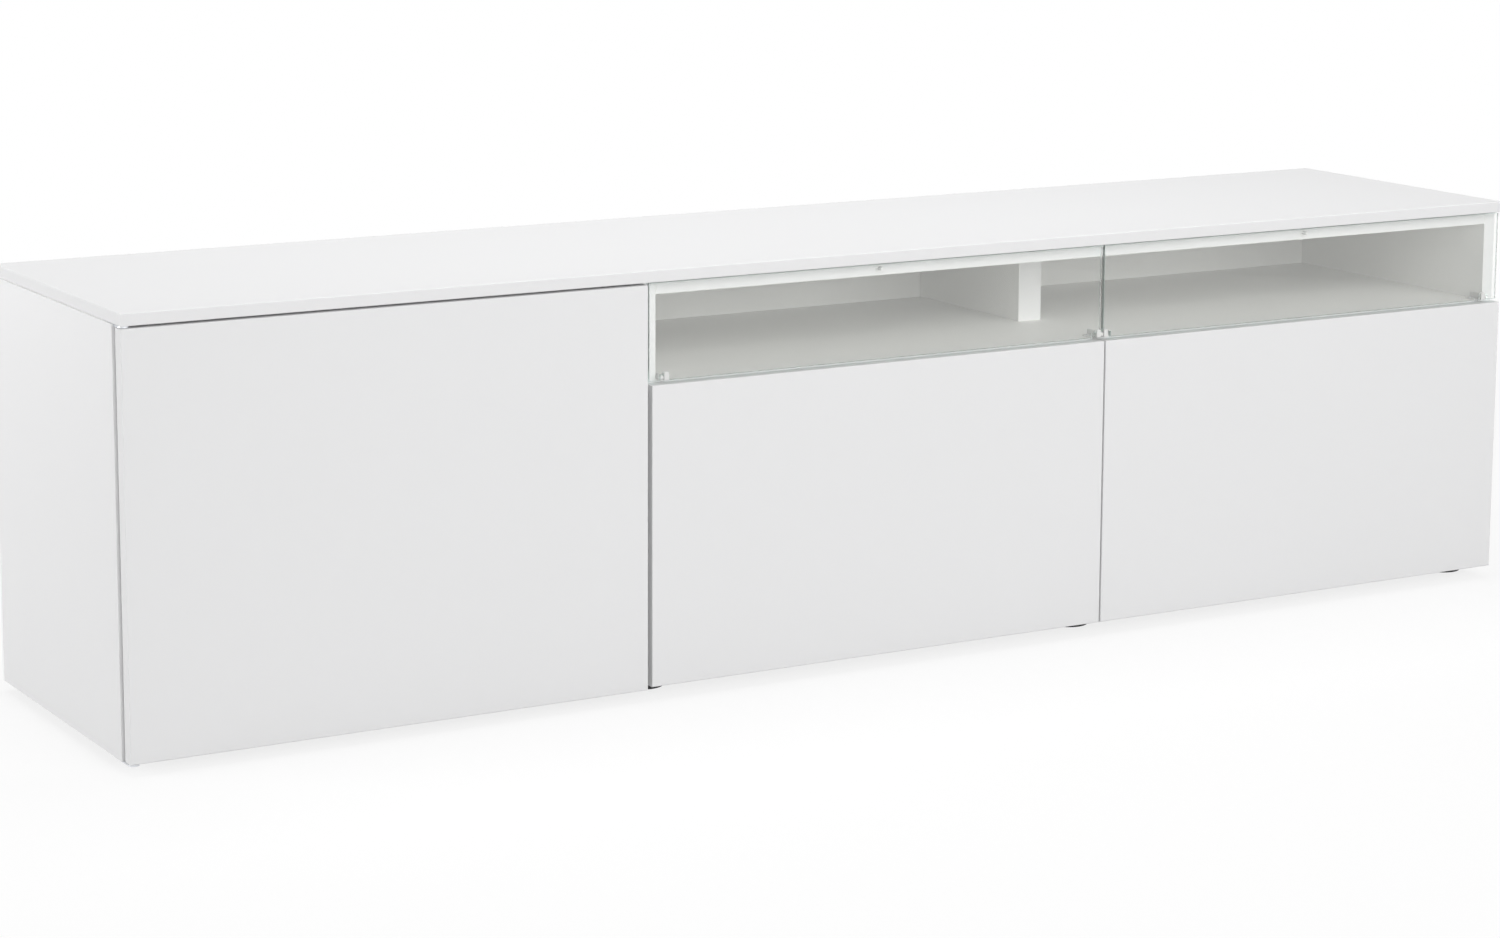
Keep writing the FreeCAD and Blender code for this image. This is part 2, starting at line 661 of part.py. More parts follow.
drawer("middle_drawer", f"{UNIT_JOINT} + front_inset",
       f"({UNIT_JOINT} + board)", f"({BAY_JOINT} - board / 2)")
drawer("right_drawer", f"{BAY_JOINT} + front_reveal / 2",
       f"({BAY_JOINT} + board / 2)", f"({RIGHT} - board)")

# Glass flaps. Each pane is notched at its lower corners for a shoe, which turns on a pin of a bracket that
# stands on the niche floor. The ear of the bracket reaches forward through the notch to the glass's middle.
NOTCH_WIDTH = "(shoe_width + ear_gauge + 3 * ear_gap)"
SHOE_TOP = "(notch_height - flap_pivot_rise + shoe_grip)"
BRACKET_FOOT_Z = "(glass_lift + flap_pivot_rise)"
BRACKET_FOOT_Y = f"({CARCASS_FRONT} - {FLAP_AXIS_Y} + bracket_setback)"
GLASS_WIDTH = "(bay_width - front_inset - glass_joint / 2)"


def glass_pane(label, x, notches):
    """Clear pane with polished edges and a notch for each shoe."""
    body = new_body(label, (x, GLASS_BACK, f"{NICHE_FLOOR} + glass_lift"), FACE_ON)
    height = f"({TOP} - glass_reveal - {NICHE_FLOOR} - glass_lift)"
    last = block(body, "Pad", ("0", "0"), (GLASS_WIDTH, height, "glass_thickness"))
    for notch_x in notches:
        last = block(body, "Pocket", (notch_x, "-notch_height"),
                     (NOTCH_WIDTH, "2 * notch_height", "glass_thickness"))
    ease(body, "Chamfer", last, "glass_arris")
    kept(body, label)


def flap_shoe(name, x):
    """Shoe that grips the glass above the notch and turns about the flap's axis."""
    body = new_body(name, (x, FLAP_AXIS_Y, FLAP_AXIS_Z), SIDE_ON)
    half = "(glass_thickness / 2 + shoe_cheek)"
    low = "(flap_pivot_rise - shoe_lift)"
    solid = block(body, "Pad", (f"-{half}", f"-{low}"), (f"2 * {half}", f"{low} + {SHOE_TOP}", "shoe_width"))
    ease(body, "Chamfer", solid, "shoe_chamfer")
    block(body, "Pocket", ("-(glass_thickness / 2)", "notch_height - flap_pivot_rise"),
          ("glass_thickness", "2 * shoe_grip", "shoe_width"))
    disc(body, "Pocket", ("0", "0"), "flap_pin_radius + flap_pin_gap", "shoe_width")
    return body


def flap_bracket(label, x, foot_start, foot_width, pin_start, pin_length):
    """Bracket with a foot on the niche floor, an upright ear, and pins out of the ear's sides."""
    body = new_body(label, (x, FLAP_AXIS_Y, FLAP_AXIS_Z), SIDE_ON)
    disc(body, "Pad", ("0", "0"), "ear_radius", "ear_gauge")
    block(body, "Pad", ("0", "-ear_radius"),
          (f"{BRACKET_FOOT_Y} + bracket_foot", "2 * ear_radius", "ear_gauge"))
    block(body, "Pad", (BRACKET_FOOT_Y, f"-{BRACKET_FOOT_Z}"),
          ("bracket_foot", f"{BRACKET_FOOT_Z}", "ear_gauge"))
    block(body, "Pad", (BRACKET_FOOT_Y, f"-{BRACKET_FOOT_Z}"),
          ("bracket_foot", "bracket_foot_gauge", foot_width), foot_start)
    disc(body, "Pad", ("0", "0"), "flap_pin_radius", pin_length, pin_start)
    kept(body, label)


OUTER_EAR_LEFT = f"({UNIT_JOINT} + board + 2 * ear_gap)"
OUTER_EAR_RIGHT = f"({RIGHT} - board - 2 * ear_gap - ear_gauge)"
CENTRE_EAR = f"({BAY_JOINT} - ear_gauge / 2)"
flap_bracket("middle_flap_bracket", OUTER_EAR_LEFT, "0", "bracket_foot_width", "0", "ear_gauge + flap_pin")
flap_bracket("right_flap_bracket", OUTER_EAR_RIGHT, "ear_gauge - bracket_foot_width", "bracket_foot_width",
             "-flap_pin", "ear_gauge + flap_pin")
flap_bracket("flap_centre_bracket", CENTRE_EAR, "ear_gauge - bracket_foot_width",
             "2 * bracket_foot_width - ear_gauge", "-flap_pin", "ear_gauge + 2 * flap_pin")

MIDDLE_PANE_X = f"({UNIT_JOINT} + front_inset)"
RIGHT_PANE_X = f"({BAY_JOINT} + glass_joint / 2)"
AFTER_EAR = "(ear_gauge + ear_gap)"
glass_pane("middle_glass_pane", MIDDLE_PANE_X,
           (f"{OUTER_EAR_LEFT} - ear_gap - {MIDDLE_PANE_X}", f"{GLASS_WIDTH} - {NOTCH_WIDTH}"))
glass_pane("right_glass_pane", RIGHT_PANE_X,
           ("0", f"{OUTER_EAR_RIGHT} + {AFTER_EAR} - {NOTCH_WIDTH} - {RIGHT_PANE_X}"))
group("middle_flap_shoes", [flap_shoe("middle_shoe_left", f"{OUTER_EAR_LEFT} + {AFTER_EAR}"),
                            flap_shoe("middle_shoe_right", f"{CENTRE_EAR} - ear_gap - shoe_width")])
group("right_flap_shoes", [flap_shoe("right_shoe_left", f"{CENTRE_EAR} + {AFTER_EAR}"),
                           flap_shoe("right_shoe_right", f"{OUTER_EAR_RIGHT} - ear_gap - shoe_width")])
FLAP_LATCH_Z = f"({CEILING} + board / 2)"
push_latch("middle_flap", "right_unit_top", f"({UNIT_JOINT} + bay_width / 2)", FLAP_LATCH_Z, GLASS_BACK)
push_latch("right_flap", "right_unit_top", f"({BAY_JOINT} + bay_width / 2)", FLAP_LATCH_Z, GLASS_BACK)

group("carcass_dowels", dowels)
group("latch_sleeves", latch_sleeves)
finish_drilled()
doc.recompute()

# Every object has to be whole before anything is written.
for thing in doc.Objects:
    if {"Invalid", "Error"} & set(thing.State):
        raise RuntimeError(f"{thing.Label} did not recompute")
    if thing.TypeId == "PartDesign::Pocket" and thing.Shape.Volume >= thing.BaseFeature.Shape.Volume:
        raise RuntimeError(f"{thing.Label} cuts nothing")
for piece in pieces:
    if piece.Shape.isNull() or not piece.Shape.isValid():
        raise RuntimeError(f"{piece.Label} has no sound shape")

os.makedirs("parts", exist_ok=True)
for piece in pieces:
    piece.Shape.exportStep(f"parts/{piece.Label}.step")
print(len(pieces), "pieces written")
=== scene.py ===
"""Studio picture of a low white media console: finishes, small fittings, light and camera."""

import json
import logging
import math
from abc import ABC, abstractmethod
from dataclasses import dataclass
from enum import Enum
from typing import Iterable, Optional, Sequence, Union

import bmesh
import bpy
from mathutils import Euler, Matrix, Vector


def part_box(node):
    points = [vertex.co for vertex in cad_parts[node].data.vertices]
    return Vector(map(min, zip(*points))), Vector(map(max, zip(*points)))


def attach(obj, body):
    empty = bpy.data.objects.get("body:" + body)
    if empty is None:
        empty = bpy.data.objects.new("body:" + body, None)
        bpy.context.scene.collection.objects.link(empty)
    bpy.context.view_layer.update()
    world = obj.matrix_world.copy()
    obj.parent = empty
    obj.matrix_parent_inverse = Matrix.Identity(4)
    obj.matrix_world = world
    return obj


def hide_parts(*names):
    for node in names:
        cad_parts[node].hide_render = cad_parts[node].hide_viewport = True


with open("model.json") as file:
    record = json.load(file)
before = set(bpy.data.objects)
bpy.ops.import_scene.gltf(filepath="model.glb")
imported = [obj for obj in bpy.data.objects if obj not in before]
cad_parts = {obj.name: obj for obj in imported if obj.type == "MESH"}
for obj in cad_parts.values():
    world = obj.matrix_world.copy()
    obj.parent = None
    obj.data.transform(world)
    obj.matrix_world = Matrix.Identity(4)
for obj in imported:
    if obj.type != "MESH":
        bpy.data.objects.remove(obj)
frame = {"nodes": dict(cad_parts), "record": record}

Colour = tuple[float, float, float, float]
Point = tuple[float, float, float]
Steps = tuple[tuple[float, float], ...]
Box = tuple[Vector, Vector]

LOG = logging.getLogger("console")
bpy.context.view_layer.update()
MM = 0.001
# Points nearer than this are one point, in metres.
MERGE = 1e-6
# Solids are put in order by corners rounded to this many places of a metre.
SORT_PLACES = 4
# A face looks along an axis where that part of its normal is over this.
FACING = 0.9
WHITE: Colour = (1.0, 1.0, 1.0, 1.0)
LACQUER: Colour = (0.82, 0.82, 0.824, 1.0)
FITTING_GREY: Colour = (0.71, 0.71, 0.7, 1.0)
FITTING_WORN: Colour = (0.74, 0.74, 0.73, 1.0)


class Axis(Enum):
    """Direction in which a turned piece is built up, as the turn from +Z to it."""

    RIGHT = Euler((0.0, math.pi / 2, 0.0))
    LEFT = Euler((0.0, -math.pi / 2, 0.0))
    BACK = Euler((-math.pi / 2, 0.0, 0.0))
    UP = Euler((0.0, 0.0, 0.0))
    DOWN = Euler((math.pi, 0.0, 0.0))


class Drive(Enum):
    """Recess in a screw head, by the number of corners round its mouth."""

    HEXAGON = 6
    CROSS = 12


class Wire:
    """Output socket of a shader graph that takes part in arithmetic."""

    def __init__(self, graph: "Graph", socket: bpy.types.NodeSocket) -> None:
        """Wrap a socket of a graph."""
        self.graph = graph
        self.socket = socket

    def sibling(self, name: str) -> "Wire":
        """Another output of the same node."""
        return Wire(self.graph, self.socket.node.outputs[name])

    def _math(self, operation: str, first: "Value", second: "Value") -> "Wire":
        """Add a Math node on two values."""
        return self.graph.node("ShaderNodeMath", {"operation": operation}, {0: first, 1: second})

    def __add__(self, other: "Value") -> "Wire":
        """Sum with a value."""
        return self._math("ADD", self, other)

    def __radd__(self, other: "Value") -> "Wire":
        """Sum with a value on the left."""
        return self._math("ADD", other, self)

    def __sub__(self, other: "Value") -> "Wire":
        """Difference from a value."""
        return self._math("SUBTRACT", self, other)

    def __rsub__(self, other: "Value") -> "Wire":
        """Difference of a value on the left."""
        return self._math("SUBTRACT", other, self)

    def __mul__(self, other: "Value") -> "Wire":
        """Product with a value."""
        return self._math("MULTIPLY", self, other)

    def __rmul__(self, other: "Value") -> "Wire":
        """Product with a value on the left."""
        return self._math("MULTIPLY", other, self)

    def __abs__(self) -> "Wire":
        """Size without sign."""
        return self._math("ABSOLUTE", self, 0.0)

    def above(self, level: float) -> "Wire":
        """One where the value is over a level and nought elsewhere."""
        return self._math("GREATER_THAN", self, level)

    def either(self, other: "Wire") -> "Wire":
        """Larger of two values."""
        return self._math("MAXIMUM", self, other)

    def swing(self, spread: float) -> "Wire":
        """Noise between nought and one as a spread about nought."""
        return (self - 0.5) * spread


Value = Union[Wire, float, Sequence[float]]


class Graph:
    """Node tree of a material or of the world."""

    # Sockets of a Mix node that blends colours.
    MIX_FACTOR, MIX_FIRST, MIX_SECOND, MIX_RESULT = 0, 6, 7, 2

    def __init__(self, tree: bpy.types.NodeTree) -> None:
        """Start with an empty tree."""
        tree.nodes.clear()
        self.tree = tree

    def node(self, kind: str, settings: Optional[dict[str, object]] = None,
             inputs: Optional[dict[Union[str, int], Value]] = None, output: Union[str, int] = 0) -> Wire:
        """Add a node.

        Args:
            kind: Blender's name for the node's type.
            settings: Properties that are set first; "stops" are a ramp's places and colours.
            inputs: Values or links by the socket's name or index.
            output: Name or index of the output that is wanted.

        Returns:
            The wanted output.
        """
        made = self.tree.nodes.new(kind)
        for name, setting in (settings or {}).items():
            if name == "stops":
                self._set_stops(made.color_ramp, setting)
            else:
                setattr(made, name, setting)
        for name, value in (inputs or {}).items():
            if isinstance(value, Wire):
                self.tree.links.new(value.socket, made.inputs[name])
            else:
                made.inputs[name].default_value = value
        return Wire(self, made.outputs[output])

    @staticmethod
    def _set_stops(ramp: bpy.types.ColorRamp, stops: Sequence[tuple[float, Colour]]) -> None:
        """Give a ramp its stops.

        Args:
            ramp: Ramp of a new node, which has two stops already.
            stops: Places and colours of two or more stops.
        """
        for index, (place, colour) in enumerate(stops):
            stop = ramp.elements[index] if index < len(ramp.elements) else ramp.elements.new(place)
            stop.position = place
            stop.color = colour

    def end(self, kind: str, surface: Wire) -> None:
        """Lead a shader to the tree's output node."""
        made = self.tree.nodes.new(kind)
        self.tree.links.new(surface.socket, made.inputs["Surface"])

    def place(self) -> Wire:
        """Object coordinates, which are the console's own metres."""
        return self.node("ShaderNodeTexCoord", output="Object")

    def grained(self, stretch: Point) -> Wire:
        """Object coordinates with a scale on each axis, so that noise runs along the grain."""
        return self.node("ShaderNodeMapping", {"vector_type": "POINT"},
                         {"Vector": self.place(), "Scale": stretch})

    def along(self, vector: Wire, axis: str) -> Wire:
        """Part of a vector along an axis."""
        return self.node("ShaderNodeSeparateXYZ", inputs={0: vector}, output=axis)

    def rearward(self) -> Wire:
        """How far the surface faces the rear: one where it does, minus one where it faces the front."""
        return self.along(self.node("ShaderNodeTexCoord", output="Normal"), "Y")

    def noise(self, pitch: float, detail: float = 2.0, vector: Optional[Wire] = None) -> Wire:
        """Soft noise between nought and one, with patches of about a pitch in metres."""
        return self.node("ShaderNodeTexNoise", {"noise_dimensions": "3D"},
                         {"Vector": vector or self.place(), "Scale": 1.0 / pitch, "Detail": detail})

    def blend(self, factor: Value, first: Value, second: Value) -> Wire:
        """Mix of two colours."""
        sockets = {self.MIX_FACTOR: factor, self.MIX_FIRST: first, self.MIX_SECOND: second}
        return self.node("ShaderNodeMix", {"data_type": "RGBA"}, sockets, self.MIX_RESULT)

    def bump(self, height: Wire, depth: float) -> Wire:
        """Normal of a surface that rises by a depth in metres where the height is one."""
        return self.node("ShaderNodeBump", inputs={"Height": height, "Distance": depth, "Strength": 1.0})


@dataclass(frozen=True)
class Finish(ABC):
    """Surface finish of a material slot."""

    slot: str

    @abstractmethod
    def shade(self, graph: Graph) -> Wire:
        """Build the finish's shader.

        Args:
            graph: Node tree of the finish's material.

        Returns:
            The shader.
        """

    def material(self) -> bpy.types.Material:
        """Make the finish's material, or find it where it is made already.

        Returns:
            The material.
        """
        made = bpy.data.materials.get(self.slot + "_finish")
        if made is None:
            made = bpy.data.materials.new(self.slot + "_finish")
            made.use_nodes = True
            graph = Graph(made.node_tree)
            graph.end("ShaderNodeOutputMaterial", self.shade(graph))
        return made


@dataclass(frozen=True)
class CoatedBoard(Finish):
    """White coat on a board: a faint drift of colour, and a fine relief that breaks the gloss."""

    colour: Colour
    drift: float
    drift_pitch: float
    roughness: float
    roughness_spread: float
    relief_pitch: float
    relief_depth: float

    DRIFT_DETAIL = 3.0
    RELIEF_DETAIL = 1.0
    SPECULAR = 0.25

    def coat(self, graph: Graph) -> Wire:
        """Colour of the coat, with its drift."""
        dark = tuple(channel * (1.0 - self.drift) for channel in self.colour[:3]) + (1.0,)
        return graph.blend(graph.noise(self.drift_pitch, self.DRIFT_DETAIL), dark, self.colour)

    def shade(self, graph: Graph) -> Wire:
        """Build the coat's shader.

        Args:
            graph: Node tree of the finish's material.

        Returns:
            The shader.
        """
        relief = graph.noise(self.relief_pitch, self.RELIEF_DETAIL)
        return graph.node("ShaderNodeBsdfPrincipled", inputs={
            "Base Color": self.coat(graph),
            "Roughness": self.roughness + relief.swing(self.roughness_spread),
            "Specular IOR Level": self.SPECULAR,
            "Normal": graph.bump(relief, self.relief_depth)})


@dataclass(frozen=True)
class EdgeShadedBoard(CoatedBoard):
    """Coated board with a darker colour on its front-facing faces, which is painted shade, and a plain coat
    on the console's two ends.
    """

    edge_shade_and_end_coat: Colour
    ends: float

    def coat(self, graph: Graph) -> Wire:
        """Pick the darker colour on front-facing faces, as painted shade, and farther out than the ends, as
        their plain coat, and the coat's elsewhere.

        Args:
            graph: Node tree of the finish's material.

        Returns:
            The colour.
        """
        # Every face that looks to the front takes the darker colour: painted shade on the front edges.
        front = (0.0 - graph.rearward()).above(FACING)
        outside = abs(graph.along(graph.place(), "X")).above(self.ends)
        return graph.blend(front.either(outside), super().coat(graph), self.edge_shade_and_end_coat)


@dataclass(frozen=True)
class ClearGlass(Finish):
    """Clear float glass whose edges are faintly green, and which lets the lamps' light through."""

    face: Colour
    edge: Colour
    edge_roughness: float
    smear: float
    smear_pitch: float
    haze: float

    INDEX = 1.5

    def shade(self, graph: Graph) -> Wire:
        """Build the glass's shader.

        Args:
            graph: Node tree of the finish's material.

        Returns:
            The shader.
        """
        broad = abs(graph.rearward()).above(FACING)
        tint = graph.blend(broad, self.edge, self.face)
        smear = self.smear * graph.noise(self.smear_pitch)
        glass = graph.node("ShaderNodeBsdfPrincipled", inputs={
            "Base Color": tint, "Roughness": smear + self.edge_roughness * (1.0 - broad),
            "Transmission Weight": 1.0 - self.haze, "IOR": self.INDEX})
        rays = graph.node("ShaderNodeLightPath", output="Is Shadow Ray")
        clear = graph.node("ShaderNodeBsdfTransparent", inputs={"Color": tint})
        return graph.node("ShaderNodeMixShader", inputs={
            0: rays.either(rays.sibling("Is Diffuse Ray")), 1: glass, 2: clear})


@dataclass(frozen=True)
class Metal(Finish):
    """Plated metal with rolling lines along one direction and a cloudy gloss."""

    colour: Colour
    dull: Colour
    roughness: float
    roughness_spread: float
    stretch: Point
    line_pitch: float
    line_depth: float

    CLOUD_PITCHES = 20.0
    CLOUD_DETAIL = 3.0

    def shade(self, graph: Graph) -> Wire:
        """Build the metal's shader.

        Args:
            graph: Node tree of the finish's material.

        Returns:
            The shader.
        """
        lines = graph.noise(self.line_pitch, vector=graph.grained(self.stretch))
        cloud = graph.noise(self.CLOUD_PITCHES * self.line_pitch, self.CLOUD_DETAIL)
        return graph.node("ShaderNodeBsdfPrincipled", inputs={
            "Base Color": graph.blend(cloud, self.dull, self.colour), "Metallic": 1.0,
            "Roughness": self.roughness + lines.swing(self.roughness_spread),
            "Normal": graph.bump(lines, self.line_depth)})


@dataclass(frozen=True)
class MouldedPlastic(Finish):
    """Plastic or powder coat: fine pits and a slight change of tone."""

    colour: Colour
    worn: Colour
    roughness: float
    pit_pitch: float
    pit_depth: float

    TONE_PITCHES = 15.0
    ROUGHNESS_SPREAD = 0.15

    def shade(self, graph: Graph) -> Wire:
        """Build the plastic's shader.

        Args:
            graph: Node tree of the finish's material.

        Returns:
            The shader.
        """
        pits = graph.noise(self.pit_pitch)
        tone = graph.noise(self.TONE_PITCHES * self.pit_pitch)
        return graph.node("ShaderNodeBsdfPrincipled", inputs={
            "Base Color": graph.blend(tone, self.colour, self.worn),
            "Roughness": self.roughness + pits.swing(self.ROUGHNESS_SPREAD),
            "Normal": graph.bump(pits, self.pit_depth)})


@dataclass(frozen=True)
class RawBeech(Finish):
    """Raw beech with short dark flecks along the grain."""

    pale: Colour
    fleck: Colour
    stretch: Point
    grain_pitch: float
    grain_depth: float
    roughness: float
    roughness_rise: float

    GRAIN_DETAIL = 4.0
    FLECK_UNDER = 0.45
    PALE_OVER = 0.6

    def shade(self, graph: Graph) -> Wire:
        """Build the wood's shader.

        Args:
            graph: Node tree of the finish's material.

        Returns:
            The shader.
        """
        grain = graph.noise(self.grain_pitch, self.GRAIN_DETAIL, graph.grained(self.stretch))
        stops = [(self.FLECK_UNDER, self.fleck), (self.PALE_OVER, self.pale)]
        flecks = graph.node("ShaderNodeValToRGB", {"stops": stops}, {0: grain})
        return graph.node("ShaderNodeBsdfPrincipled", inputs={
            "Base Color": flecks, "Roughness": self.roughness + self.roughness_rise * grain,
            "Normal": graph.bump(grain, self.grain_depth)})


FINISHES: dict[str, Finish] = {finish.slot: finish for finish in (
    CoatedBoard("white_lacquer", colour=LACQUER, drift=0.012, drift_pitch=0.35, roughness=0.8,
                roughness_spread=0.1, relief_pitch=1.6 * MM, relief_depth=0.003 * MM),
    # The white board's front-facing faces are painted darker in the lacquer's colour, as shade; its outer
    # ends take that colour as their coat.
    EdgeShadedBoard("white_board", colour=(0.91, 0.91, 0.892, 1.0), drift=0.012, drift_pitch=0.2, roughness=0.5,
                roughness_spread=0.16, relief_pitch=0.7 * MM, relief_depth=0.006 * MM, edge_shade_and_end_coat=LACQUER,
                ends=0.8972),
    CoatedBoard("white_hardboard", colour=(0.88, 0.881, 0.864, 1.0), drift=0.03, drift_pitch=0.08,
                roughness=0.58, roughness_spread=0.2, relief_pitch=2.5 * MM, relief_depth=0.012 * MM),
    ClearGlass("clear_glass", face=(0.994, 0.998, 0.99, 1.0), edge=(0.83, 0.945, 0.91, 1.0),
               edge_roughness=0.42, smear=0.01, smear_pitch=60 * MM, haze=0.05),
    Metal("zinc_steel", colour=(0.72, 0.73, 0.75, 1.0), dull=(0.58, 0.6, 0.63, 1.0), roughness=0.34,
          roughness_spread=0.16, stretch=(1.0, 0.08, 1.0), line_pitch=0.4 * MM, line_depth=0.004 * MM),
    MouldedPlastic("grey_coated_metal", colour=FITTING_GREY, worn=FITTING_WORN, roughness=0.5,
                   pit_pitch=0.8 * MM, pit_depth=0.012 * MM),
    MouldedPlastic("grey_plastic", colour=FITTING_GREY, worn=FITTING_WORN, roughness=0.42,
                   pit_pitch=0.3 * MM, pit_depth=0.004 * MM),
    MouldedPlastic("white_plastic", colour=(0.82, 0.82, 0.815, 1.0), worn=(0.78, 0.78, 0.77, 1.0),
                   roughness=0.4, pit_pitch=0.3 * MM, pit_depth=0.004 * MM),
    MouldedPlastic("black_plastic", colour=(0.012, 0.012, 0.013, 1.0), worn=(0.022, 0.022, 0.023, 1.0),
                   roughness=0.5, pit_pitch=0.4 * MM, pit_depth=0.01 * MM),
    RawBeech("beech", pale=(0.62, 0.44, 0.28, 1.0), fleck=(0.42, 0.27, 0.15, 1.0), stretch=(0.12, 1.0, 1.0),
             grain_pitch=1.2 * MM, grain_depth=0.05 * MM, roughness=0.55, roughness_rise=0.2),
)}


def islands(node: str) -> list[Box]:
    """Boxes of the separate solids in a CAD node.

    Args:
        node: Name of the node.

    Returns:
        Lowest and highest corner of each solid, from left to right, front to rear and low to high.
    """
    mesh = bmesh.new()
    mesh.from_mesh(frame["nodes"][node].data)
    bmesh.ops.remove_doubles(mesh, verts=mesh.verts, dist=MERGE)
    left = set(mesh.verts)
    boxes = []
    while left:
        reached = [left.pop()]
        members = []
        while reached:
            vert = reached.pop()
            members.append(vert.co.copy())
            near = {edge.other_vert(vert) for edge in vert.link_edges} & left
            left -= near
            reached.extend(near)
        boxes.append(tuple(Vector(pick(corner[axis] for corner in members) for axis in range(3))
                           for pick in (min, max)))
    mesh.free()
    return sorted(boxes, key=lambda box: tuple(round(value, SORT_PLACES) for value in box[0]))


class Workpiece:
    """Mesh under construction in the console's frame."""

    SMOOTH_UNDER = math.radians(32.0)
    BEND_FACETS = 4
    BALL_DIVISIONS = 2
    HEAD_FACETS = 24
    # Radius and height of each ring of a screw head, as shares of the head's own.
    HEAD_RINGS: Steps = ((1.0, 0.55), (0.9, 0.85), (0.72, 1.0))
    # The recess: reach and waist as shares of the head's radius, floor as a share of its height.
    DRIVE_REACH, DRIVE_WAIST, DRIVE_FLOOR = 0.5, 0.22, 0.35
    ARM_CORNERS = 3

    def __init__(self, name: str) -> None:
        """Start with an empty mesh."""
        self.name = name
        self.mesh = bmesh.new()

    def _put(self, verts: Iterable[bmesh.types.BMVert], origin: Vector, axis: Axis) -> None:
        """Turn new vertices from +Z to an axis and carry them to their origin."""
        place = Matrix.Translation(origin) @ axis.value.to_matrix().to_4x4()
        bmesh.ops.transform(self.mesh, matrix=place, verts=list(verts))

    def lathe(self, origin: Vector, axis: Axis, profile: Sequence[tuple[float, float]], facets: int) -> None:
        """Turn a closed piece from a profile.

        Args:
            origin: Point on the axis from which heights are measured.
            axis: Direction of the heights.
            profile: Radii and heights, from one end of the axis to the other.
            facets: Number of facets round the piece.
        """
        before = set(self.mesh.verts)
        verts = [self.mesh.verts.new((radius, 0.0, height)) for radius, height in profile]
        edges = [self.mesh.edges.new(pair) for pair in zip(verts, verts[1:])]
        bmesh.ops.spin(self.mesh, geom=verts + edges, cent=(0, 0, 0), axis=(0, 0, 1), dvec=(0, 0, 0),
                       angle=2 * math.pi, steps=facets, use_merge=True)
        made = [vert for vert in self.mesh.verts if vert not in before]
        bmesh.ops.remove_doubles(self.mesh, verts=made, dist=MERGE)
        self._put((vert for vert in self.mesh.verts if vert not in before), origin, axis)

    def head(self, origin: Vector, axis: Axis, radius: float, height: float, drive: Drive) -> None:
        """Make a screw head with a rounded rim and a recess.

        Args:
            origin: Middle of the head's seat.
            axis: Direction in which the head stands out.
            radius: Largest radius.
            height: Height over the seat.
            drive: Form of the recess.
        """
        before = set(self.mesh.verts)
        rim = bmesh.ops.create_circle(self.mesh, segments=self.HEAD_FACETS, radius=radius)["verts"]
        ring = self._loop_edges(rim)
        for share, level in self.HEAD_RINGS:
            ring = self._raise(ring, radius * share, height * level)
        mouth = bmesh.ops.create_circle(self.mesh, segments=drive.value, radius=radius)["verts"]
        for index, vert in enumerate(mouth):
            inner = drive is Drive.CROSS and index % self.ARM_CORNERS == 0
            reach = self.DRIVE_WAIST if inner else self.DRIVE_REACH
            vert.co = Vector((vert.co.x, vert.co.y, 0.0)).normalized() * radius * reach
            vert.co.z = height
        mouth_edges = self._loop_edges(mouth)
        bmesh.ops.bridge_loops(self.mesh, edges=ring + mouth_edges)
        floor = self._raise(mouth_edges, None, self.DRIVE_FLOOR * height)
        bmesh.ops.contextual_create(self.mesh, geom=floor)
        self._put((vert for vert in self.mesh.verts if vert not in before), origin, axis)

    @staticmethod
    def _loop_edges(verts: Sequence[bmesh.types.BMVert]) -> list[bmesh.types.BMEdge]:
        """Edges that join the vertices of a loop."""
        members = set(verts)
        return list({edge for vert in verts for edge in vert.link_edges if edge.other_vert(vert) in members})

    def _raise(self, ring: list[bmesh.types.BMEdge], radius: Optional[float],
               height: float) -> list[bmesh.types.BMEdge]:
        """Extrude a ring of edges about +Z.

        Args:
            ring: Edges of the ring.
            radius: New radius, or None to keep the outline.
            height: New height.

        Returns:
            The new ring.
        """
        made = bmesh.ops.extrude_edge_only(self.mesh, edges=ring)["geom"]
        for vert in (item for item in made if isinstance(item, bmesh.types.BMVert)):
            if radius is not None:
                vert.co.xy = vert.co.xy.normalized() * radius
            vert.co.z = height
        return [item for item in made if isinstance(item, bmesh.types.BMEdge)
                and all(abs(vert.co.z - height) < MERGE for vert in item.verts)]

    def plate(self, low: Vector, high: Vector, bevel: float) -> None:
        """Make a block with broken edges.

        Args:
            low: Lowest corner.
            high: Highest corner.
            bevel: Width of the broken edges.
        """
        place = Matrix.Translation((low + high) / 2) @ Matrix.Diagonal((*(high - low), 1.0))
        verts = bmesh.ops.create_cube(self.mesh, size=1.0, matrix=place)["verts"]
        edges = {edge for vert in verts for edge in vert.link_edges}
        bmesh.ops.bevel(self.mesh, geom=list(edges), offset=bevel, offset_type="OFFSET", affect="EDGES",
                        segments=1, profile=0.5, material=-1)

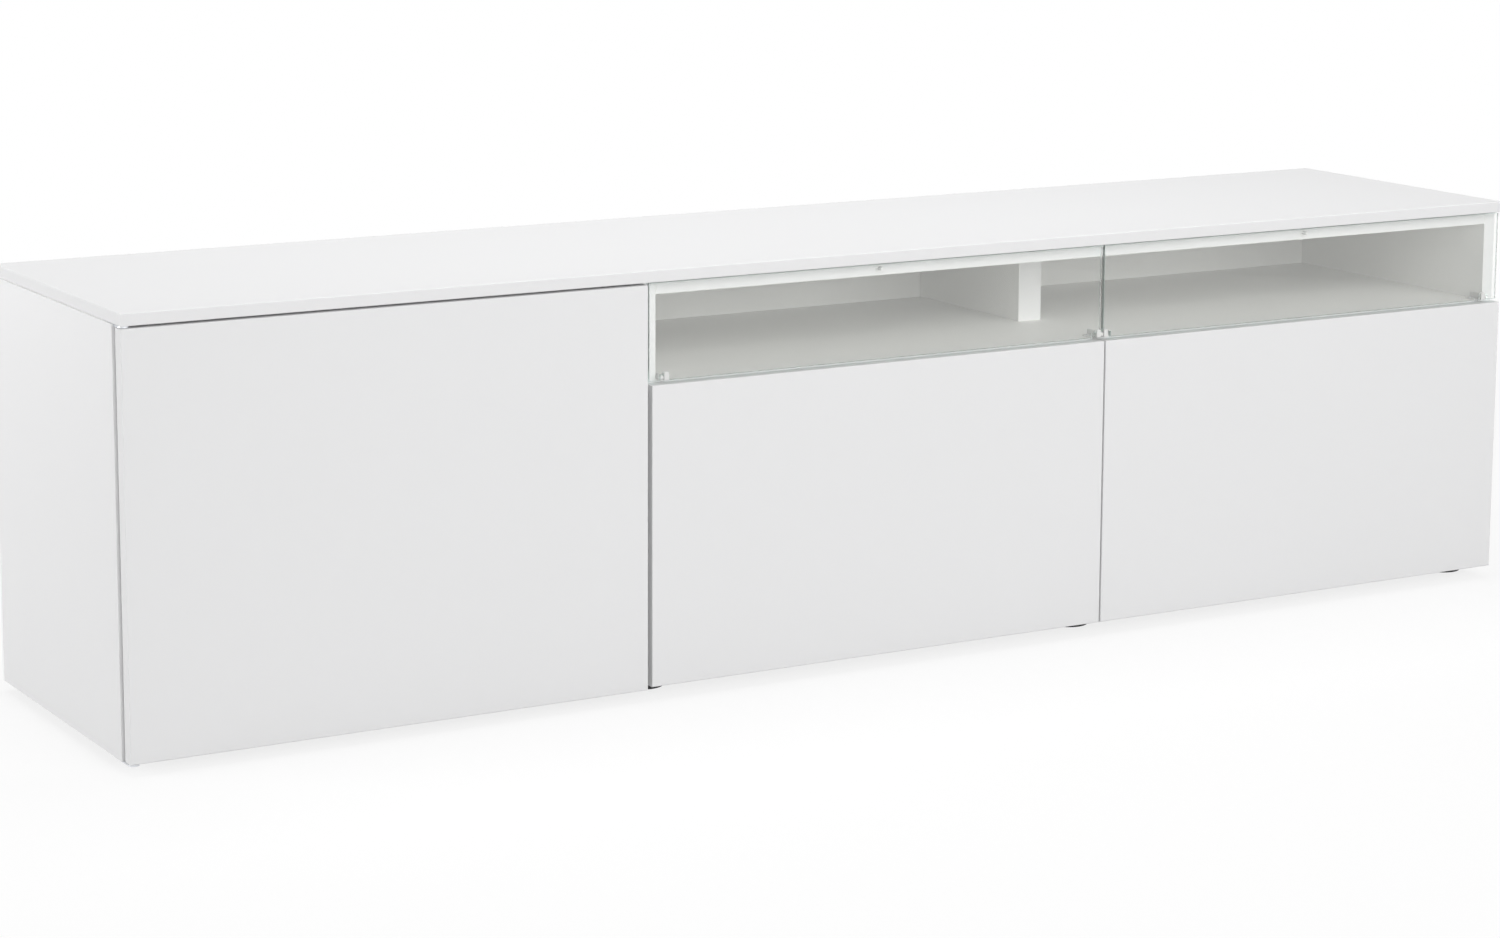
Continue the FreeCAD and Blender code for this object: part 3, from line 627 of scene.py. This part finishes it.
    def channel(self, path: Sequence[tuple[float, float]], start: float, end: float, gauge: float,
                bend: float) -> None:
        """Roll a channel along Y.

        Args:
            path: X and Z of the open section's corners, along the sheet's middle plane.
            start: Y of the front end.
            end: Y of the rear end.
            gauge: Thickness of the sheet.
            bend: Size of the rounded folds.
        """
        verts = [self.mesh.verts.new((x, start, z)) for x, z in path]
        edges = [self.mesh.edges.new(pair) for pair in zip(verts, verts[1:])]
        made = bmesh.ops.extrude_edge_only(self.mesh, edges=edges)["geom"]
        bmesh.ops.translate(self.mesh, vec=(0.0, end - start, 0.0),
                            verts=[item for item in made if isinstance(item, bmesh.types.BMVert)])
        faces = [item for item in made if isinstance(item, bmesh.types.BMFace)]
        borders = {edge for face in faces for edge in face.edges}
        folds = [edge for edge in borders if len(edge.link_faces) == 2]
        bent = bmesh.ops.bevel(self.mesh, geom=folds, offset=bend, offset_type="OFFSET", affect="EDGES",
                               segments=self.BEND_FACETS, profile=0.5, material=-1)
        sheet = list({face for face in faces if face.is_valid} | set(bent["faces"]))
        bmesh.ops.recalc_face_normals(self.mesh, faces=sheet)
        bmesh.ops.solidify(self.mesh, geom=sheet, thickness=gauge)

    def ball(self, centre: Vector, radius: float) -> None:
        """Add a small ball."""
        bmesh.ops.create_icosphere(self.mesh, subdivisions=self.BALL_DIVISIONS, radius=radius,
                                   matrix=Matrix.Translation(centre))

    def finish(self, slot: str, body: str, *replaced: str) -> None:
        """Make the object, dress it and let it ride.

        Args:
            slot: Material slot of the record.
            body: Body that carries the piece.
            replaced: CAD nodes that the piece stands for.
        """
        bmesh.ops.recalc_face_normals(self.mesh, faces=self.mesh.faces)
        data = bpy.data.meshes.new(self.name)
        self.mesh.to_mesh(data)
        self.mesh.free()
        data.shade_smooth()
        data.set_sharp_from_angle(angle=self.SMOOTH_UNDER)
        data.materials.append(FINISHES[slot].material())
        piece = bpy.data.objects.new(self.name, data)
        bpy.context.scene.collection.objects.link(piece)
        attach(piece, body)
        if replaced:
            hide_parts(*replaced)
        LOG.info("%s rides %s with %d faces", self.name, body, len(data.polygons))


class Boards:
    """The CAD nodes, most of which keep their own shape."""

    def dress(self) -> None:
        """Give every node the finish of its slot."""
        rows = frame["record"]["subparts"]
        for row in rows:
            for slot in frame["nodes"][row["node"]].material_slots:
                slot.material = FINISHES[row["material_slot"]].material()
        LOG.info("%d nodes dressed", len(rows))


@dataclass
class Glides:
    """Black discs that the console stands on."""

    sole_round: float = 1.2 * MM
    # Steps in from the rim and up from the floor, in rounds of the sole.
    sole_arc: Steps = ((2.0, 0.0), (0.4, 0.3), (0.0, 1.0))
    # Heights as shares of the disc's, and the collar's radius as a share of its radius.
    rim_top: float = 0.3
    shoulder: float = 0.45
    collar_foot: float = 0.55
    collar_share: float = 0.82
    facets: int = 40

    def build(self) -> None:
        """Turn a disc for each foot, with a rounded sole and a straight collar under the bottom board."""
        work = Workpiece("glide_discs")
        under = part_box("left_unit_bottom")[0].z
        for low, high in islands("glide_feet"):
            radius = (high.x - low.x) / 2
            height = under - low.z
            collar = radius * self.collar_share
            sole = [(radius - inward * self.sole_round, up * self.sole_round) for inward, up in self.sole_arc]
            work.lathe(Vector(((low.x + high.x) / 2, (low.y + high.y) / 2, low.z)), Axis.UP, [
                (0.0, 0.0), *sole, (radius, self.rim_top * height),
                (radius - self.sole_round, self.shoulder * height), (collar, self.collar_foot * height),
                (collar, height), (0.0, height)], self.facets)
        work.finish("black_plastic", "carcass", "glide_feet")


@dataclass
class Fasteners:
    """Screws, bolts and pins that show when the console is open or turned over."""

    cover_shank: float = 1.9 * MM
    cover_point: float = 2.0 * MM
    bolt_shank: float = 2.8 * MM
    shank_facets: int = 12
    # Radius as a share of the pin's, and distance short of its end in radii.
    pin_nose: Steps = ((1.0, 0.3), (0.85, 0.1), (0.6, 0.0))
    pin_facets: int = 20

    def build(self) -> None:
        """Make the cover screws, the bolts between the units and the shelf pins."""
        self._cover_screws()
        self._unit_bolts()
        self._shelf_pins()

    def _cover_screws(self) -> None:
        """Pan heads under the units' tops, with their shanks."""
        work = Workpiece("cover_screw_heads")
        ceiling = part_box("left_unit_top")[0].z
        for low, high in islands("cover_screws"):
            seat = Vector(((low.x + high.x) / 2, (low.y + high.y) / 2, ceiling))
            length = high.z - ceiling
            work.head(seat, Axis.DOWN, (high.x - low.x) / 2, ceiling - low.z, Drive.CROSS)
            work.lathe(seat, Axis.UP, [(0.0, 0.0), (self.cover_shank, 0.0),
                                       (self.cover_shank, length - self.cover_point), (0.0, length)],
                       self.shank_facets)
        work.finish("zinc_steel", "carcass", "cover_screws")

    def _unit_bolts(self) -> None:
        """Bolts between the units with a flat socket head in each bay."""
        work = Workpiece("unit_bolt_heads")
        left_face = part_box("left_unit_inner_side")[0].x
        right_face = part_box("right_unit_inner_side")[1].x
        length = right_face - left_face
        for low, high in islands("unit_bolts"):
            radius = (high.z - low.z) / 2
            middle = (low + high) / 2
            left_seat = Vector((left_face, middle.y, middle.z))
            right_seat = Vector((right_face, middle.y, middle.z))
            work.head(left_seat, Axis.LEFT, radius, left_face - low.x, Drive.HEXAGON)
            work.head(right_seat, Axis.RIGHT, radius, high.x - right_face, Drive.HEXAGON)
            work.lathe(left_seat, Axis.RIGHT, [(0.0, 0.0), (self.bolt_shank, 0.0), (self.bolt_shank, length),
                                               (0.0, length)], self.shank_facets)
        work.finish("zinc_steel", "carcass", "unit_bolts")

    def _shelf_pins(self) -> None:
        """Turned pins with a rounded end under the shelf."""
        work = Workpiece("turned_shelf_pins")
        bay_middle = sum(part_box("adjustable_shelf"), Vector()).x / 2
        for low, high in islands("shelf_pins"):
            radius, length = (high.z - low.z) / 2, high.x - low.x
            middle = (low + high) / 2
            inward = Axis.RIGHT if middle.x < bay_middle else Axis.LEFT
            start = low.x if inward is Axis.RIGHT else high.x
            nose = [(share * radius, length - short * radius) for share, short in self.pin_nose]
            work.lathe(Vector((start, middle.y, middle.z)), inward,
                       [(0.0, 0.0), (radius, 0.0), *nose, (0.0, length)], self.pin_facets)
        work.finish("zinc_steel", "carcass", "shelf_pins")


@dataclass
class PushLatches:
    """Sleeves, plungers and strikes of the push latches."""

    rim_round: float = 0.3 * MM
    flange_gauge: float = 0.6 * MM
    # Radius of a sleeve's body as a share of its flange's.
    body_share: float = 0.76
    play: float = 0.15 * MM
    sleeve_facets: int = 28
    # Radius of a plunger as a share of its solid's, and its nose as shares of that radius and depths.
    rod_share: float = 0.98
    nose: Steps = ((0.45, 0.02 * MM), (0.8, 0.3 * MM), (0.97, 0.9 * MM), (1.0, 1.6 * MM))
    rod_facets: int = 24
    # Rim and floor of a strike's dish as shares of its radius.
    dish_rim: float = 0.45
    dish_floor: float = 0.3
    strike_facets: int = 32
    fronts: tuple[str, ...] = ("door", "middle_drawer", "right_drawer", "middle_flap", "right_flap")

    def build(self) -> None:
        """Turn each latch's pieces about its own axis."""
        self._sleeves()
        for front in self.fronts:
            self._plunger(front)
            if front + "_strike" in frame["nodes"]:
                self._strike(front)

    def _sleeves(self) -> None:
        """Flanged sleeves in the board edges, open for the plunger."""
        work = Workpiece("latch_sleeve_rings")
        plunger_low, plunger_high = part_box("door_latch_plunger")
        bore = (plunger_high.z - plunger_low.z) / 2 + self.play
        for low, high in islands("latch_sleeves"):
            middle = (low + high) / 2
            flange = (high.z - low.z) / 2
            body = self.body_share * flange
            length = high.y - low.y
            work.lathe(Vector((middle.x, low.y, middle.z)), Axis.BACK, [
                (bore, length), (bore, self.rim_round), (bore + self.rim_round, 0.0),
                (flange - self.rim_round, 0.0), (flange, self.rim_round), (flange, self.flange_gauge),
                (body, self.flange_gauge), (body, length), (bore, length)], self.sleeve_facets)
        work.finish("white_plastic", "carcass", "latch_sleeves")

    def _plunger(self, front: str) -> None:
        """Turn a plunger with a domed nose.

        Args:
            front: Name of the front that the latch holds.
        """
        node = front + "_latch_plunger"
        low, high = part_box(node)
        middle = (low + high) / 2
        radius = (high.z - low.z) / 2 * self.rod_share
        length = high.y - low.y
        nose = [(share * radius, depth) for share, depth in self.nose]
        work = Workpiece(node + "_rod")
        work.lathe(Vector((middle.x, low.y, middle.z)), Axis.BACK,
                   [(0.0, 0.0), *nose, (radius, length), (0.0, length)], self.rod_facets)
        work.finish("white_plastic", front + "_plunger", node)

    def _strike(self, front: str) -> None:
        """Turn a round strike plate with a dish in its middle.

        Args:
            front: Name of the front that carries the strike.
        """
        node = front + "_strike"
        low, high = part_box(node)
        middle = (low + high) / 2
        radius = (high.z - low.z) / 2
        gauge = high.y - low.y
        sunk = gauge - self.rim_round
        work = Workpiece(node + "_plate")
        work.lathe(Vector((middle.x, low.y, middle.z)), Axis.BACK, [
            (0.0, 0.0), (radius, 0.0), (radius, sunk), (radius - self.rim_round, gauge),
            (self.dish_rim * radius, gauge), (self.dish_floor * radius, sunk), (0.0, sunk)],
            self.strike_facets)
        work.finish("zinc_steel", front, node)


@dataclass
class TelescopicRunners:
    """Ball-bearing runners of one drawer, rolled from sheet, with their ball cages and screws."""

    drawer: str
    gauge: float = 1.2 * MM
    bend: float = 1.6 * MM
    ball: float = 1.95 * MM
    ball_pitch: float = 11.0 * MM
    cage_balls: int = 12
    cage_inset: float = 6.0 * MM
    # Half the width and half the gauge of a cage, in radii of a ball.
    cage_half_width: float = 1.5
    cage_half_gauge: float = 0.12
    cage_bevel: float = 0.1 * MM
    # Places of the screws as shares of the length from the front.
    screw_places: tuple[float, ...] = (0.1, 0.5, 0.92)
    screw_radius: float = 3.6 * MM
    screw_height: float = 1.8 * MM

    def build(self) -> None:
        """Make the three members of both sides, with their cages."""
        rails = islands(self.drawer + "_cabinet_rails")
        cabinet = Workpiece(self.drawer + "_outer_channels")
        middle = Workpiece(self.drawer + "_ball_channels")
        for box, side in zip(rails, ("left", "right")):
            self._side(box, side, cabinet, middle)
        cabinet.finish("zinc_steel", "carcass", self.drawer + "_cabinet_rails")
        middle.finish("zinc_steel", self.drawer + "_runners", self.drawer + "_middle_members")

    def _side(self, box: Box, side: str, cabinet: Workpiece, middle: Workpiece) -> None:
        """Make the members of one side, with depths measured from the cabinet's board to the drawer.

        Args:
            box: Corners of the side's cabinet rail.
            side: Which side of the drawer it is, left or right.
            cabinet: Mesh of the cabinet's members.
            middle: Mesh of the middle members.
        """
        low, high = box
        board_x, sign = (low.x, 1.0) if side == "left" else (high.x, -1.0)
        level, half = (low.z + high.z) / 2, (high.z - low.z) / 2
        rail_low, rail_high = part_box(f"{self.drawer}_{side}_rail")
        drawer_x = rail_high.x if side == "left" else rail_low.x
        thickness = abs(drawer_x - board_x)
        skin = self.gauge / 2
        outer, inner = half - skin, half - 2 * self.gauge - 4 * self.ball + skin
        between = (outer + inner) / 2

        def section(points: Sequence[tuple[float, float]]) -> list[tuple[float, float]]:
            """Points of depth and height as X and Z."""
            return [(board_x + sign * depth, level + height) for depth, height in points]

        lip = outer - self.ball
        reach = abs(high.x - low.x) - skin
        cabinet.channel(section([(reach, lip), (reach, outer), (skin, outer), (skin, -outer), (reach, -outer),
                                 (reach, -lip)]), low.y, high.y, self.gauge, self.bend)
        web = 2 * self.gauge + skin
        middle.channel(section([(reach, between), (web, between), (web, -between), (reach, -between)]),
                       low.y, high.y, self.gauge, self.bend)
        back = thickness - skin
        open_side = web + 2 * self.gauge
        drawer_rail = Workpiece(f"{self.drawer}_{side}_inner_channel")
        drawer_rail.channel(section([(open_side, inner), (back, inner), (back, -inner), (open_side, -inner)]),
                            low.y, high.y, self.gauge, self.bend)
        face = board_x + sign * (back - skin)
        for share in self.screw_places:
            drawer_rail.head(Vector((face, low.y + share * (high.y - low.y), level)),
                             Axis.LEFT if side == "left" else Axis.RIGHT, self.screw_radius,
                             self.screw_height, Drive.CROSS)
        drawer_rail.finish("zinc_steel", self.drawer, f"{self.drawer}_{side}_rail")
        cage_x = board_x + sign * (web + reach) / 2
        for height, rear in (((outer + between) / 2, True), ((between + inner) / 2, False)):
            for upper in (1.0, -1.0):
                end = Vector((cage_x, high.y if rear else low.y, level + upper * height))
                self._cage(middle, end, rear)

    def _cage(self, work: Workpiece, end: Vector, rear: bool) -> None:
        """Make a strip with a row of balls, from one end of the middle member to short of its middle.

        Args:
            work: Mesh of the middle members.
            end: Middle of the strip's section at the member's end.
            rear: Whether that is the rear end.
        """
        sign = -1.0 if rear else 1.0
        length = (self.cage_balls + 1) * self.ball_pitch
        near, far = sorted((end.y + sign * self.cage_inset, end.y + sign * (self.cage_inset + length)))
        half = Vector((self.cage_half_width * self.ball, 0.0, self.cage_half_gauge * self.ball))
        work.plate(Vector((end.x, near, end.z)) - half, Vector((end.x, far, end.z)) + half, self.cage_bevel)
        for index in range(self.cage_balls):
            work.ball(Vector((end.x, near + (index + 1) * self.ball_pitch, end.z)), self.ball)


@dataclass
class FlapFittings:
    """Screws that hold the flap brackets to the niche floor and clamp the shoes to the glass."""

    screw_radius: float = 1.9 * MM
    screw_height: float = 0.9 * MM
    screw_steps: tuple[float, ...] = (4.5 * MM, 11.5 * MM)
    foot_gauge: float = 1.5 * MM
    foot_setback: float = 2.0 * MM
    ear_to_screw: float = 5.0 * MM
    ear_half: float = 1.5 * MM
    clamp_radius: float = 1.1 * MM
    clamp_height: float = 0.4 * MM
    clamp_drop: float = 1.7 * MM
    flaps: tuple[str, ...] = ("middle_flap", "right_flap")

    def build(self) -> None:
        """Set the screws on the brackets and shoes."""
        self._bracket_screws()
        for flap in self.flaps:
            self._clamp_screws(flap)

    def _bracket_screws(self) -> None:
        """Screws behind one another on the foot of each bracket, beside its ear."""
        work = Workpiece("flap_bracket_screws")
        front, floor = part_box("niche_floor")[0].y + self.foot_setback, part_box("niche_floor")[1].z
        left_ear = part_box("middle_flap_bracket")[0].x + self.ear_half
        right_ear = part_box("right_flap_bracket")[1].x - self.ear_half
        centre_ear = sum(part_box("flap_centre_bracket"), Vector()).x / 2
        for ear, sign in ((left_ear, 1.0), (centre_ear, -1.0), (centre_ear, 1.0), (right_ear, -1.0)):
            for step in self.screw_steps:
                seat = Vector((ear + sign * self.ear_to_screw, front + step, floor + self.foot_gauge))
                work.head(seat, Axis.UP, self.screw_radius, self.screw_height, Drive.CROSS)
        work.finish("zinc_steel", "carcass")

    def _clamp_screws(self, flap: str) -> None:
        """Set a small socket screw in the rear cheek of each shoe, where it grips the glass.

        Args:
            flap: Name of the flap that carries the shoes.
        """
        work = Workpiece(flap + "_clamp_screws")
        for low, high in islands(flap + "_shoes"):
            seat = Vector(((low.x + high.x) / 2, high.y, high.z - self.clamp_drop))
            work.head(seat, Axis.BACK, self.clamp_radius, self.clamp_height, Drive.HEXAGON)
        work.finish("zinc_steel", flap)


@dataclass(frozen=True)
class Softbox:
    """Large soft lamp of even brightness, with lengths in metres and power in watts."""

    name: str
    place: Point
    aim: Point
    width: float
    height: float
    power: float

    def build(self) -> None:
        """Hang the lamp up and turn it to its aim."""
        lamp = bpy.data.lights.new(self.name, "AREA")
        lamp.shape = "RECTANGLE"
        lamp.size, lamp.size_y = self.width, self.height
        lamp.energy = self.power
        holder = bpy.data.objects.new(self.name, lamp)
        bpy.context.scene.collection.objects.link(holder)
        holder.visible_camera = False
        holder.location = self.place
        holder.rotation_euler = (Vector(self.aim) - holder.location).to_track_quat("-Z", "Y").to_euler()


# Large boxes in front, overhead and at the left, and low strips at the right and behind.
SOFTBOXES = (
    Softbox("front_softbox", place=(0.4, -4.4, 1.8), aim=(0.4, 0.0, 0.4), width=7.0, height=2.6, power=174.0),
    Softbox("high_softbox", place=(0.4, -2.9, 3.0), aim=(0.4, 0.0, 0.4), width=5.5, height=1.6, power=17.0),
    Softbox("top_softbox", place=(0.0, 0.2, 2.3), aim=(0.0, 0.2, 0.4), width=3.4, height=1.4, power=35.0),
    Softbox("left_softbox", place=(-4.2, 1.0, 0.9), aim=(-0.9, 0.0, 0.3), width=2.2, height=1.6, power=73.0),
    Softbox("right_softbox", place=(4.2, 1.0, 0.25), aim=(0.9, 0.0, 0.25), width=2.2, height=0.4, power=30.0),
    Softbox("rear_softbox", place=(0.0, 3.6, 0.25), aim=(0.0, 0.0, 0.25), width=4.6, height=0.4, power=38.0),
)


@dataclass
class Studio:
    """Pale floor, soft light and the camera of the picture."""

    floor_size: float = 60.0
    floor_colour: Colour = (0.55, 0.55, 0.55, 1.0)
    floor_shade: Colour = (0.53, 0.53, 0.53, 1.0)
    floor_pitch: float = 0.6
    paper_colour: Colour = (0.95, 0.95, 0.95, 1.0)
    # The floor glows by this share near the console, and fully beyond the fade, in metres.
    near_glow: float = 0.8
    fade_from: float = 1.1
    fade_to: float = 3.2
    sky: float = 0.15
    lamps: tuple[Softbox, ...] = SOFTBOXES
    # Camera: place and clipping in metres, turns in degrees, lens and film in millimetres.
    eye: Point = (-2.1519, -3.5875, 1.062)
    heading: float = -30.19
    dip: float = 9.38
    roll: float = 0.26
    lens: float = 87.65
    film: float = 36.0
    shift: float = -0.1
    clip: tuple[float, float] = (0.1, 200.0)

    @staticmethod
    def _seen(graph: Graph) -> Wire:
        """One for rays that show the background: from the camera, off gloss and through glass."""
        rays = graph.node("ShaderNodeLightPath", output="Is Camera Ray")
        return rays.either(rays.sibling("Is Glossy Ray")).either(rays.sibling("Is Transmission Ray"))

    def build(self) -> None:
        """Make the floor, the light and the camera."""
        self._floor()
        self._sky()
        for lamp in self.lamps:
            lamp.build()
        self._camera()

    def _floor(self) -> None:
        """White floor that keeps a light shadow under the console."""
        mesh = bmesh.new()
        bmesh.ops.create_grid(mesh, x_segments=1, y_segments=1, size=self.floor_size / 2)
        data = bpy.data.meshes.new("studio_floor")
        mesh.to_mesh(data)
        mesh.free()
        floor = bpy.data.objects.new("studio_floor", data)
        bpy.context.scene.collection.objects.link(floor)
        material = bpy.data.materials.new("studio_floor_paint")
        material.use_nodes = True
        graph = Graph(material.node_tree)
        bare = graph.node("ShaderNodeBsdfDiffuse", inputs={
            "Color": graph.blend(graph.noise(self.floor_pitch), self.floor_colour, self.floor_shade)})
        paper = graph.node("ShaderNodeBsdfDiffuse", inputs={"Color": self.paper_colour})
        glow = graph.node("ShaderNodeEmission", inputs={"Color": WHITE, "Strength": 1.0})
        away = graph.node("ShaderNodeVectorMath", {"operation": "LENGTH"}, {0: graph.place()}, "Value")
        fade = graph.node("ShaderNodeMapRange", {"interpolation_type": "SMOOTHSTEP"}, {
            "Value": away, "From Min": self.fade_from, "From Max": self.fade_to, "To Min": self.near_glow,
            "To Max": 1.0})
        white = graph.node("ShaderNodeMixShader", inputs={0: fade, 1: paper, 2: glow})
        graph.end("ShaderNodeOutputMaterial", graph.node("ShaderNodeMixShader", inputs={
            0: self._seen(graph), 1: bare, 2: white}))
        data.materials.append(material)

    def _sky(self) -> None:
        """Even light from all round, seen as white."""
        world = bpy.data.worlds.new("studio_sky")
        world.use_nodes = True
        bpy.context.scene.world = world
        graph = Graph(world.node_tree)
        strength = self.sky + (1.0 - self.sky) * self._seen(graph)
        graph.end("ShaderNodeOutputWorld", graph.node("ShaderNodeBackground", inputs={
            "Color": WHITE, "Strength": strength}))

    def _camera(self) -> None:
        """Camera at the picture's angle, tilted down, with a small shift."""
        data = bpy.data.cameras.new("picture_camera")
        data.sensor_width = self.film
        data.lens = self.lens
        data.shift_y = self.shift
        data.clip_start, data.clip_end = self.clip
        camera = bpy.data.objects.new("picture_camera", data)
        bpy.context.scene.collection.objects.link(camera)
        turn = Euler((math.radians(90.0 - self.dip), 0.0, math.radians(self.heading))).to_matrix()
        turn @= Matrix.Rotation(math.radians(self.roll), 3, "Z")
        camera.matrix_world = Matrix.Translation(self.eye) @ turn.to_4x4()
        bpy.context.scene.camera = camera


def main() -> None:
    """Dress the console, add its fittings and set the studio."""
    logging.basicConfig(level=logging.INFO, format="%(name)s: %(message)s")
    bpy.context.scene.view_settings.view_transform = "Standard"
    Boards().dress()
    Glides().build()
    Fasteners().build()
    PushLatches().build()
    for drawer in ("middle_drawer", "right_drawer"):
        TelescopicRunners(drawer).build()
    FlapFittings().build()
    Studio().build()


if __name__ == "__main__":
    main()
